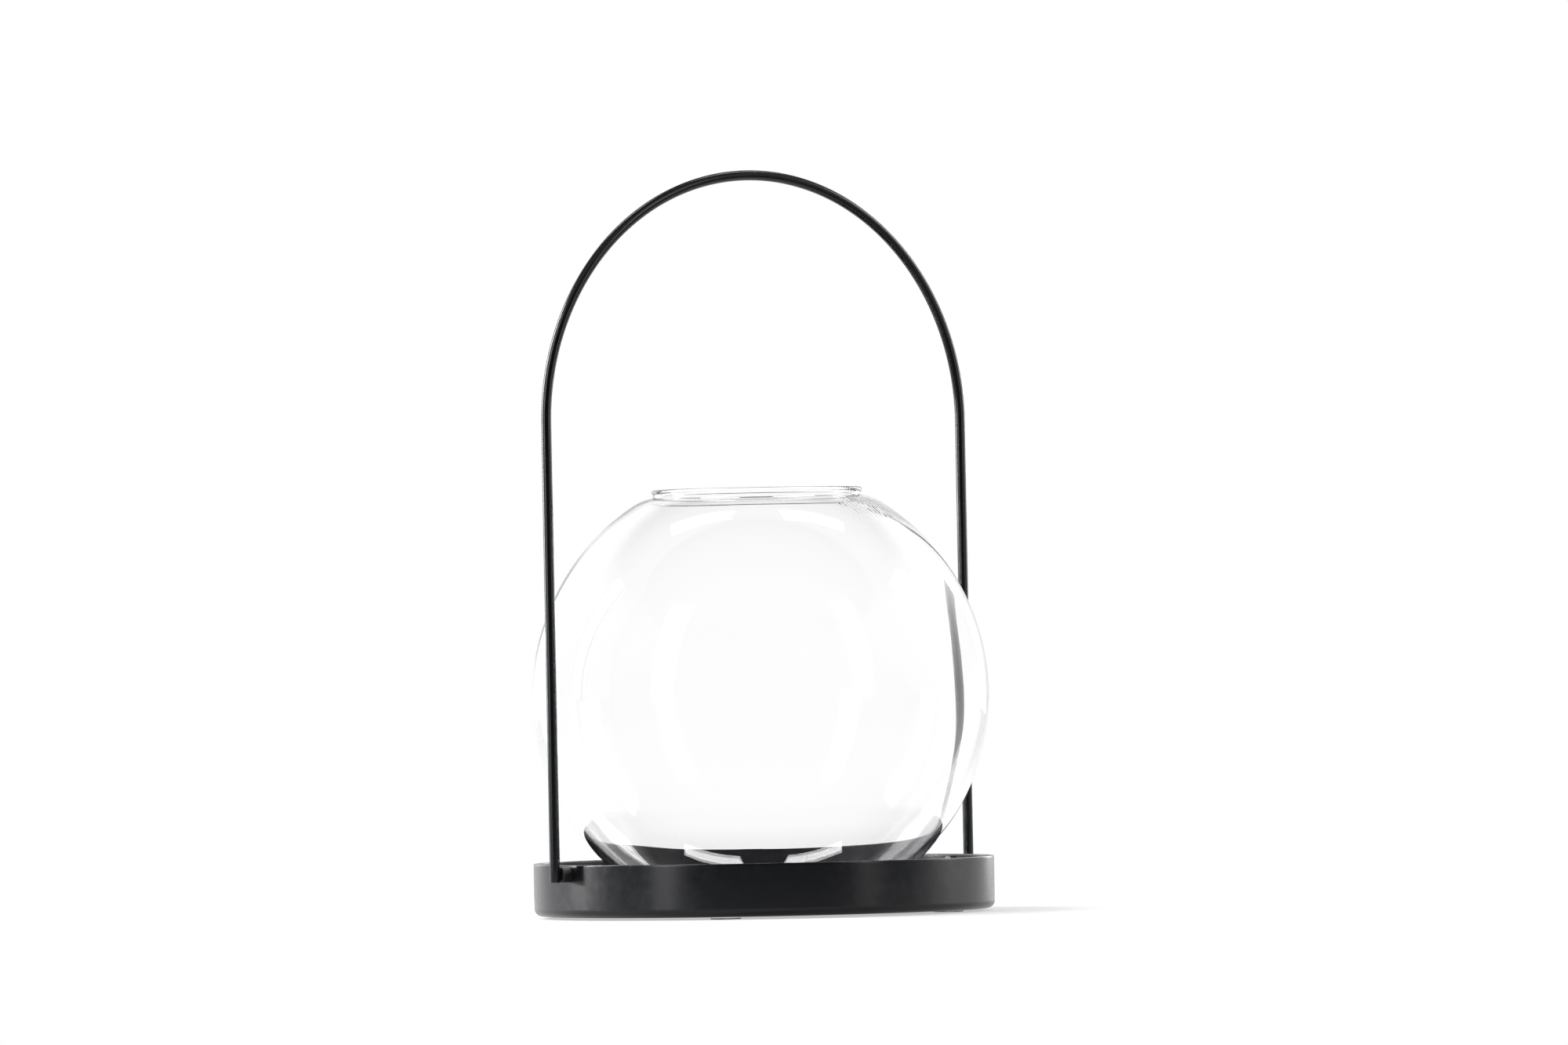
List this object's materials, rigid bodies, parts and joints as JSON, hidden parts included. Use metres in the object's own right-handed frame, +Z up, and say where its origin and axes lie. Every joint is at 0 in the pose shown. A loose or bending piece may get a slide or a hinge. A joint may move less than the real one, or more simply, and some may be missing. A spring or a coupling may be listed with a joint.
{
  "type": "candle lantern",
  "caption": "Clear round glass globe with a short open collar, standing in a shallow black steel tray with a swinging round-wire handle, to hold a candle.",
  "frame": {"origin": "middle of the lantern's footprint, on the surface that its foot pads stand on", "axes": "+Z up along the globe's axis, X along the handle's pivots, Y the way the handle swings"},
  "size_m": [0.197, 0.18, 0.291],
  "materials": {
    "black_coat": "satin black powder coat on steel, fine even texture",
    "clear_glass": "clear blown glass, fire-polished lip",
    "bush_plastic": "black moulded nylon",
    "pin_steel": "blackened steel",
    "seat_rubber": "soft black silicone rubber",
    "pad_silicone": "soft clear silicone, slightly milky"
  },
  "bodies": {
    "base": {"base_tray": "black_coat", "seat_pad": "seat_rubber", "left_bush": "bush_plastic", "right_bush": "bush_plastic", "foot_pad_1": "pad_silicone", "foot_pad_2": "pad_silicone", "foot_pad_3": "pad_silicone", "foot_pad_4": "pad_silicone"},
    "handle": {"handle": "black_coat", "left_pivot_pin": "pin_steel", "right_pivot_pin": "pin_steel"},
    "globe": {"glass_globe": "clear_glass"}
  },
  "joints": [
    {"name": "handle_swing", "type": "hinge", "parent": "base", "child": "handle", "pos_m": [0, 0, 0.0179], "axis": [1, 0, 0], "range_deg": [-93, 93]},
    {"name": "globe_lift", "type": "slide", "parent": "base", "child": "globe", "axis": [0, 0, 1], "range_m": [0, 0.09]}
  ]
}
